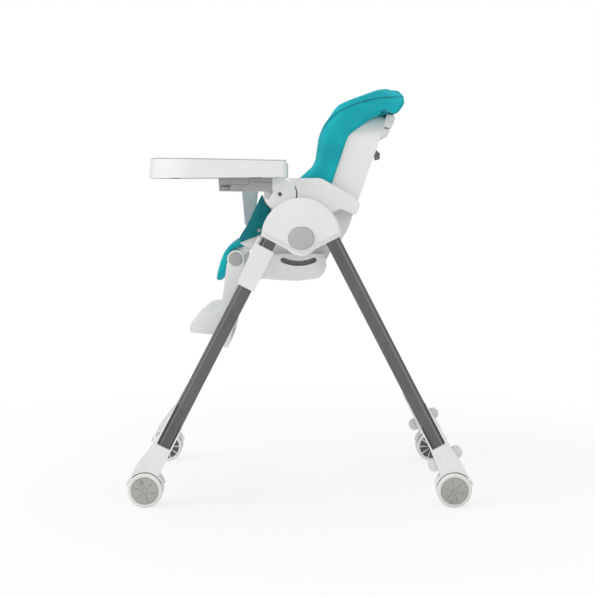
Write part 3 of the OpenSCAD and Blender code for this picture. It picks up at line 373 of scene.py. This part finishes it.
trayShape = {
    # the tray's side deepens towards the front and its front wall leans back at the top, in metres
    "bottom": 0.820, "top": 0.862, "rear": -0.032, "front": -0.400,
    "rise": 0.0075, "drop": 0.0022, "lean": 0.007,
    # its tracks are grey; the lifting insert's rim sides are painted grey as shade, a thin dark line round the
    # tray
    "trackTop": 0.8385, "trackInner": 0.188, "trackOuter": 0.2275, "rimBottom": 0.8605, "rimSteepness": 0.4,
}
for node in ("tray", "tray_insert"):
    for v in moulded[node].data.vertices:
        ahead = share((trayShape["rear"] - v.co.y) / (trayShape["rear"] - trayShape["front"]))
        up = share((v.co.z - trayShape["bottom"]) / (trayShape["top"] - trayShape["bottom"]))
        if v.co.z > trayShape["bottom"] - 0.5 * mm:
            v.co.z += ahead * (trayShape["rise"] * up - trayShape["drop"] * (1 - up))
            v.co.y += trayShape["lean"] * up * ahead ** 3
alsoFinish(moulded["tray"], finishes["grey_plastic"], lambda at, out: at.z < trayShape["trackTop"]
           and trayShape["trackInner"] < abs(at.x) < trayShape["trackOuter"])
# painted shade: the insert's rim sides take grey
alsoFinish(moulded["tray_insert"], finishes["grey_plastic"], lambda at, out: at.z > trayShape["rimBottom"]
           and out.z < trayShape["rimSteepness"])

# hand grips in the pan's sides; the tub's wall behind them, and the grips' own walls, are painted dark grey as
# shade; in metres
grip = {"y": -0.003, "halfLength": 0.055, "bottom": 0.594, "top": 0.628, "colour": "#8f9091"}


# picks the grips' walls in the pan, which are painted grey as shade
def shadedGripWall(at, out):
    near = abs(at.y - grip["y"]) < grip["halfLength"]
    return near and grip["bottom"] < at.z < grip["top"] and abs(out.x) < 0.8


# paints shade, a dark grey, on the tub's wall where it shows through the grips
def paintShadeBehindGrips(material):
    tree = material.node_tree
    shader = tree.nodes["Principled BSDF"]
    plain = shader.inputs["Base Color"].links[0].from_socket
    place = addNode(tree, "ShaderNodeTexCoord").outputs["Object"]
    axes = addNode(tree, "ShaderNodeSeparateXYZ", None, {0: place}).outputs
    along = addNode(tree, "ShaderNodeMath", {1: grip["y"]}, {0: axes["Y"]}, operation="SUBTRACT")
    reach = addNode(tree, "ShaderNodeMath", None, {0: along.outputs[0]}, operation="ABSOLUTE")
    near = addNode(tree, "ShaderNodeMath", {1: grip["halfLength"]}, {0: reach.outputs[0]},
                   operation="LESS_THAN")
    low = addNode(tree, "ShaderNodeMath", {1: grip["top"]}, {0: axes["Z"]}, operation="LESS_THAN")
    both = addNode(tree, "ShaderNodeMath", None, {0: near.outputs[0], 1: low.outputs[0]},
                   operation="MULTIPLY")
    mix = addNode(tree, "ShaderNodeMix", {7: linear(grip["colour"])}, {0: both.outputs[0], 6: plain},
                  data_type="RGBA")
    tree.links.new(mix.outputs[2], shader.inputs["Base Color"])
    return material


# painted shade: grey on the grips' walls in the pan, dark grey on the tub's wall behind them
alsoFinish(moulded["under_pan"], finishes["grey_plastic"], shadedGripWall)
tubPlasticPaintedShade = mouldedPlastic("tubPolypropylene", mouldedLook["white"])
moulded["seat_tub"].data.materials[0] = paintShadeBehindGrips(tubPlasticPaintedShade)

# the tub's front lip and what lies on it sit lower than in the frame, in metres
frontLip = {"behind": -0.100, "over": 0.035, "above": 0.645, "share": 0.5, "halfWidth": 0.1765}


def lowerFront(piece):
    for v in piece.data.vertices:
        if v.co.z > frontLip["above"] and abs(v.co.x) < frontLip["halfWidth"]:
            ahead = share((frontLip["behind"] - v.co.y) / frontLip["over"])
            v.co.z -= (v.co.z - frontLip["above"]) * frontLip["share"] * ahead


lowerFront(moulded["seat_tub"])

# small turned or moulded pieces keep their edges; these places, in metres, part their two finishes
twoFinishes = {"innerHub": 0.245, "pedalCap": 0.08, "armScrew": 0.76}
for node in nodes:  # outer caps are warm grey, inner hubs show their spokes
    if node.startswith(("caps_", "rear_pins", "seat_studs")):
        piece = copyOfNode(node)
        smooth(piece)
        material = capPlastic if "caps_" in node else finishes["steel"]
        finishPiece(piece, material, bodyOf[node], slotOf[node], node)
        if "caps_" in node:
            # the inner hub shows its spokes with painted shade between them
            alsoFinish(piece, hubWithPaintedShade, lambda at, out: abs(at.x) < twoFinishes["innerHub"])
        elif node == "rear_pins":  # pedal pins are capped in white
            alsoFinish(piece, finishes["white_plastic"], lambda at, out: at.z > twoFinishes["pedalCap"])
        else:  # blackened arm screws
            alsoFinish(piece, finishes["dark_plastic"], lambda at, out: at.z > twoFinishes["armScrew"])
print("moulded pieces done:", len(moulded))

# padded pieces
padLook = {
    # start is how far the pad is drawn in before it swells and cap the most that a point may move, in mm;
    # spread is the share of the swelling that is kept across, along and up the chair, calm evens it out
    "voxel": 4.0, "start": 2.0, "cap": 10.0, "pressure": 4.0, "frames": 20, "calm": 10,
    "spread": (1, 0.5, 0.5),
}


def swell(piece, look):
    useModifier(piece, "DISPLACE", strength=-look["start"] * mm, mid_level=0)
    useModifier(piece, "REMESH", mode="VOXEL", voxel_size=look["voxel"] * mm, use_smooth_shade=True)
    useModifier(piece, "SMOOTH", factor=0.5, iterations=4)
    before = np.array([v.co for v in piece.data.vertices])
    pick(piece)
    cloth = piece.modifiers.new("Cloth", "CLOTH")
    cloth.settings.use_pressure = True
    cloth.settings.uniform_pressure_force = look["pressure"]
    cloth.settings.effector_weights.gravity = 0
    cloth.point_cache.frame_start = 1
    cloth.point_cache.frame_end = look["frames"]
    for step in range(1, look["frames"] + 1):
        bpy.context.scene.frame_set(step)
    bpy.ops.object.modifier_apply(modifier="Cloth")
    bpy.context.scene.frame_set(1)
    moves = (np.array([v.co for v in piece.data.vertices]) - before) * look["spread"]
    ends = np.array([edge.vertices for edge in piece.data.edges])
    for step in range(look["calm"]):
        total, count = moves.copy(), np.ones(len(moves))
        for one, other in ((0, 1), (1, 0)):
            np.add.at(total, ends[:, one], moves[ends[:, other]])
            np.add.at(count, ends[:, one], 1)
        moves = total / count[:, None]
    if "shellAt" in look:  # the part that sits inside the shell's side wall stays inside it
        side = before[:, 0]
        free = np.clip((np.abs(side) - look["shellAt"]) / (1.5 * mm), 0, 1)
        moves[:, 0] = np.where(moves[:, 0] * side > 0, moves[:, 0] * free, moves[:, 0])
    if "wall" in look:  # nothing swells into what the pad rests on
        into = np.clip(moves @ np.array(look["wall"]), 0, None)
        moves -= into[:, None] * np.array(look["wall"])
    length = np.maximum(np.linalg.norm(moves, axis=1), 1e-9)
    moves *= np.minimum(1, look["cap"] * mm / length)[:, None]
    piece.data.vertices.foreach_set("co", (before + moves).ravel())
    piece.data.update()


def sewChannels(piece, look, width=4.5 * mm):
    # each seam pulls the cover into the foam in a soft-sided line across the pad
    co = np.empty(len(piece.data.vertices) * 3)
    piece.data.vertices.foreach_get("co", co)
    co = co.reshape(-1, 3)
    into = np.array(look["wall"])
    facing = np.array([v.normal for v in piece.data.vertices]) @ into
    run = co @ np.array(look["along"])
    for place in look["channels"]:
        pull = look["depth"] * np.exp(-((run - place) / width) ** 2) * np.clip(-facing * 1.6 - 0.3, 0, 1)
        co += pull[:, None] * into
    piece.data.vertices.foreach_set("co", co.ravel())
    piece.data.update()


def coverPad(piece, look, *replaced):
    useModifier(piece, "SUBSURF", levels=1, render_levels=1)
    if "channels" in look:
        sewChannels(piece, look)
    pick(piece)
    bpy.ops.object.shade_smooth()
    piece.data.materials.clear()
    piece.data.materials.append(finishes["teal_fabric"])
    if replaced:
        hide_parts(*replaced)
    print("padded", piece.name, len(piece.data.polygons))


backTilt = radians(19.5)
backwards = (0, cos(backTilt), -sin(backTilt))
upBack = (0, sin(backTilt), cos(backTilt))
pads = {
    # channels and their depth in metres
    "back_cushion": {"fill": 0.7, "cap": 14, "wall": backwards, "along": upBack,
                     "channels": (0.790, 0.862, 0.934), "depth": 0.0035},
    "bolster": {"fill": 0.75, "cap": 6, "voxel": 3.2, "start": 0.6, "spread": (1, 0.12, 0.12),
                "shellAt": 0.1595},
    "seat_cushion": {"fill": 0.6, "cap": 6, "spread": (0.6, 0.2, 1), "wall": (0, 0, -1), "along": (0, 1, 0),
                     "channels": (-0.075, -0.010), "depth": 0.003},
    "seat_flap": {"fill": 0.4, "cap": 2, "voxel": 1.6, "start": 0.1, "spread": (1, 0.1, 0.1)},
}
# the seat's front roll is kept inside the leg flap that covers it
roll = {"front": -0.150, "kept": 0.3}
# the shoulder of the wing stands a little fuller than the plain solid
wingShoulder = {
    "y": 0.115, "z": 1.013, "reach": 0.060, "rise": 0.0058, "soft": 0.03, "towards": Vector((0, -0.5, 0.87)),
}
# the flap's lower front corner hangs over the tub's edge
flapCorner = {"top": 0.700, "behind": -0.115, "over": 0.02, "ahead": 0.0035}


def tuckRoll(piece):
    lowerFront(piece)
    for v in piece.data.vertices:
        v.co.y = max(v.co.y, roll["front"] + (v.co.y - roll["front"]) * roll["kept"])


def fillShoulder(piece):
    for v in piece.data.vertices:
        off = Vector((0, v.co.y - wingShoulder["y"], v.co.z - wingShoulder["z"]))
        near = exp(-off.length_squared / wingShoulder["reach"] ** 2)
        ahead = share(off.dot(wingShoulder["towards"]) / wingShoulder["soft"] + 1)
        v.co += wingShoulder["towards"] * near * ahead * wingShoulder["rise"]


def hangCorner(piece):
    for v in piece.data.vertices:
        if v.co.z < flapCorner["top"]:
            down = share((flapCorner["top"] - v.co.z) / flapCorner["over"])
            ahead = share((flapCorner["behind"] - v.co.y) / flapCorner["over"])
            v.co.y -= flapCorner["ahead"] * down * ahead


cushions = {}
for stem, pad in pads.items():
    for node in sidesOf(stem):
        piece = copyOfNode(node)
        if stem == "seat_cushion":
            tuckRoll(piece)
        swell(piece, {**padLook, **pad})
        coverPad(piece, pad, node)
        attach(piece, bodyOf[node])
        if stem == "bolster":
            fillShoulder(piece)
        if stem == "seat_flap":
            hangCorner(piece)
            # the flap wears the darker cloth: painted shade for the shadow under the tray
            piece.data.materials[0] = paintedShadeCloth
        cushions[node] = piece

# piped seams seen from the side, in mm, laid on the outer face of the wing and of the seat's flap
seams = {
    "wingPiping": {"pad": "bolster", "radius": 1.4,
                   "path": [(262, 1022), (236, 1021.3), (207.5, 1020), (172.3, 1013.3), (140.7, 1002.9),
                            (116.1, 992.5), (98.5, 984.8), (80.9, 971.6), (68.6, 957.6), (59.8, 943.6),
                            (53, 925)]},
    "flapSeam": {"pad": "seat_flap", "radius": 0.9,
                 "path": [(-96, 752), (-98.5, 735), (-99, 715), (-97.5, 703), (-96, 694)]},
}


def layPiping(name, pad, side, seam):
    points = []
    for y, z in seam["path"]:
        hit, place, normal, face = pad.ray_cast((side * 0.3, y * mm, z * mm), (-side, 0, 0))
        if hit:
            points.append(place + normal * 0.4 * mm)
    deselect()
    bpy.ops.curve.primitive_nurbs_path_add()
    piece = bpy.context.object
    piece.name = name
    piece.data.splines.clear()
    spline = piece.data.splines.new("NURBS")
    spline.points.add(len(points) - 1)
    for point, place in zip(spline.points, points):
        point.co = (*place, 1)
    spline.use_endpoint_u = True
    spline.order_u = 3
    piece.data.bevel_depth = seam["radius"] * mm
    piece.data.bevel_resolution = 2
    piece.data.use_fill_caps = True
    pick(piece)
    bpy.ops.object.convert(target="MESH")
    bpy.ops.object.shade_smooth()
    return bpy.context.object


for word, side in (("left", 1), ("right", -1)):
    for name, seam in seams.items():
        node = seam["pad"] + "_" + word
        piping = layPiping(name + word.capitalize(), cushions[node], side, seam)
        finishPiece(piping, pipingCloth, bodyOf[node], "teal_fabric")

# covers that run on over a joint; each outline is in mm, seen from the side, and corner in metres
bridges = {
    "legFlap": {
        # from the seat's front roll down the leg rest
        "outline": [(-128, 662), (-148, 661), (-164, 656.5), (-180, 647), (-191, 630), (-199, 610),
                    (-207, 582), (-213, 560), (-206, 556), (-201, 557), (-186, 571), (-186, 586),
                    (-184.5, 611), (-181, 627), (-170, 638.5), (-154, 645), (-132, 648)],
        "halfWidth": 0.161, "corner": 0.035, "fill": 0.5, "cap": 3, "voxel": 3.0, "start": 0.5,
        "spread": (0.5, 0.5, 0.5),
        "bodies": ("seat", "leg_rest"), "from": (0, -0.150, 0.668), "to": (0, -0.188, 0.640),
        "replaced": ["calf_pad"],
    },
    "lumbarPanel": {
        # from the seat cushion up to the back
        "outline": [(54, 656), (57, 672), (66, 689), (80, 704), (96, 718), (110, 712), (112, 700), (100, 688),
                    (88, 677), (82, 671), (76, 669), (75, 656)],
        "halfWidth": 0.1215, "fill": 0.5, "cap": 3, "voxel": 3.0, "start": 0.5, "spread": (0.3, 0.6, 0.6),
        "bodies": ("seat", "backrest"), "from": (0, 0.062, 0.672), "to": (0, 0.104, 0.706),
        "replaced": [],
    },
}


def slab(name, outline, halfWidth):
    # a filled ring of the outline's points, drawn out across the chair
    deselect()
    bpy.ops.mesh.primitive_circle_add(vertices=len(outline), radius=0.1, fill_type="NGON")
    piece = bpy.context.object
    piece.name = name
    for v, (y, z) in zip(piece.data.vertices, outline):
        v.co = (-halfWidth, y * mm, z * mm)
    bpy.ops.object.mode_set(mode="EDIT")
    bpy.ops.mesh.select_all(action="SELECT")
    bpy.ops.mesh.extrude_region_move(TRANSFORM_OT_translate={"value": (2 * halfWidth, 0, 0)})
    bpy.ops.mesh.select_all(action="SELECT")
    bpy.ops.mesh.normals_make_consistent(inside=False)
    bpy.ops.object.mode_set(mode="OBJECT")
    return piece


def cutCornersRound(piece, look):
    lowest = min(v.co.z for v in piece.data.vertices)
    for v in piece.data.vertices:
        depth = share((lowest + look["corner"] - v.co.z) / look["corner"])
        v.co.x *= 1 - look["corner"] / look["halfWidth"] * (1 - sqrt(1 - depth * depth))


for name, look in bridges.items():
    piece = slab(name, look["outline"], look["halfWidth"])
    swell(piece, {**padLook, **look})
    if "corner" in look:
        cutCornersRound(piece, look)
    coverPad(piece, look, *look["replaced"])
    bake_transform(piece)

# room, light and camera
white = (1, 1, 1, 1)
room = {
    "floor": 7.0, "floorColour": "#f2f2f2", "shadowKept": 0.22, "fadeFrom": 0.7, "fadeTo": 1.5, "ambient": 0.5,
}
bpy.ops.mesh.primitive_plane_add(size=2 * room["floor"], location=(0, 0, 0))
floor = bpy.context.object
floor.name = "floor"
floorMaterial, tree, shader, place = startMaterial("paleFloor", Roughness=0.9)
shader.inputs["Base Color"].default_value = linear(room["floorColour"])
glow = addNode(tree, "ShaderNodeEmission", {"Color": white, "Strength": 1.0})
path = addNode(tree, "ShaderNodeLightPath")
seen = addNode(tree, "ShaderNodeMath", None,
               {0: path.outputs["Is Camera Ray"], 1: path.outputs["Is Glossy Ray"]}, operation="MAXIMUM")
# the shadow fades out round the chair, so that the floor's far edge never shows
reach = addNode(tree, "ShaderNodeVectorMath", None, {0: place}, operation="LENGTH")
fade = addNode(tree, "ShaderNodeMapRange", {"From Min": room["fadeFrom"], "From Max": room["fadeTo"],
               "To Min": 1 - room["shadowKept"], "To Max": 1.0}, {"Value": reach.outputs["Value"]})
glowing = addNode(tree, "ShaderNodeMath", None, {0: seen.outputs[0], 1: fade.outputs["Result"]},
                  operation="MULTIPLY")
mixed = addNode(tree, "ShaderNodeMixShader", None,
                {0: glowing.outputs[0], 1: shader.outputs[0], 2: glow.outputs[0]})
tree.links.new(mixed.outputs[0], tree.nodes["Material Output"].inputs["Surface"])
floor.data.materials.append(floorMaterial)

world = bpy.data.worlds.new("studio")
bpy.context.scene.world = world
world.use_nodes = True
sky = world.node_tree
ambient = addNode(sky, "ShaderNodeBackground", {"Color": white, "Strength": room["ambient"]})
backdrop = addNode(sky, "ShaderNodeBackground", {"Color": white, "Strength": 1.0})
path = addNode(sky, "ShaderNodeLightPath")
mixed = addNode(sky, "ShaderNodeMixShader", None,
                {0: path.outputs["Is Camera Ray"], 1: ambient.outputs[0], 2: backdrop.outputs[0]})
sky.links.new(mixed.outputs[0], sky.nodes["World Output"].inputs["Surface"])

lamps = {
    # place, size in metres, power in watts
    "key": {"at": (1.3, -3.0, 2.7), "size": 2.0, "power": 62},
    "fill": {"at": (3.2, 1.4, 1.9), "size": 2.2, "power": 20},
    "top": {"at": (-0.6, 0.2, 3.4), "size": 2.6, "power": 34},
}
lampAim = Vector((0, 0, 0.55))
for name, lamp in lamps.items():
    bpy.ops.object.light_add(type="AREA", location=lamp["at"])
    light = bpy.context.object
    light.name = name
    light.data.shape = "DISK"
    light.data.size = lamp["size"]
    light.data.energy = lamp["power"]
    light.rotation_euler = (lampAim - Vector(lamp["at"])).to_track_quat("-Z", "Y").to_euler()

cameraView = {"at": (3.060, -0.0055, 0.801), "pitch": 5.63, "lens": 69.34, "sensor": 36.0}
cameraTurn = (radians(90 - cameraView["pitch"]), 0, radians(90))
bpy.ops.object.camera_add(location=cameraView["at"], rotation=cameraTurn)
camera = bpy.context.object
camera.name = "sideView"
camera.data.sensor_fit = "HORIZONTAL"
camera.data.sensor_width = cameraView["sensor"]
camera.data.lens = cameraView["lens"]
bpy.context.scene.camera = camera
bpy.context.scene.view_settings.view_transform = "Standard"
print("room, light and camera done")
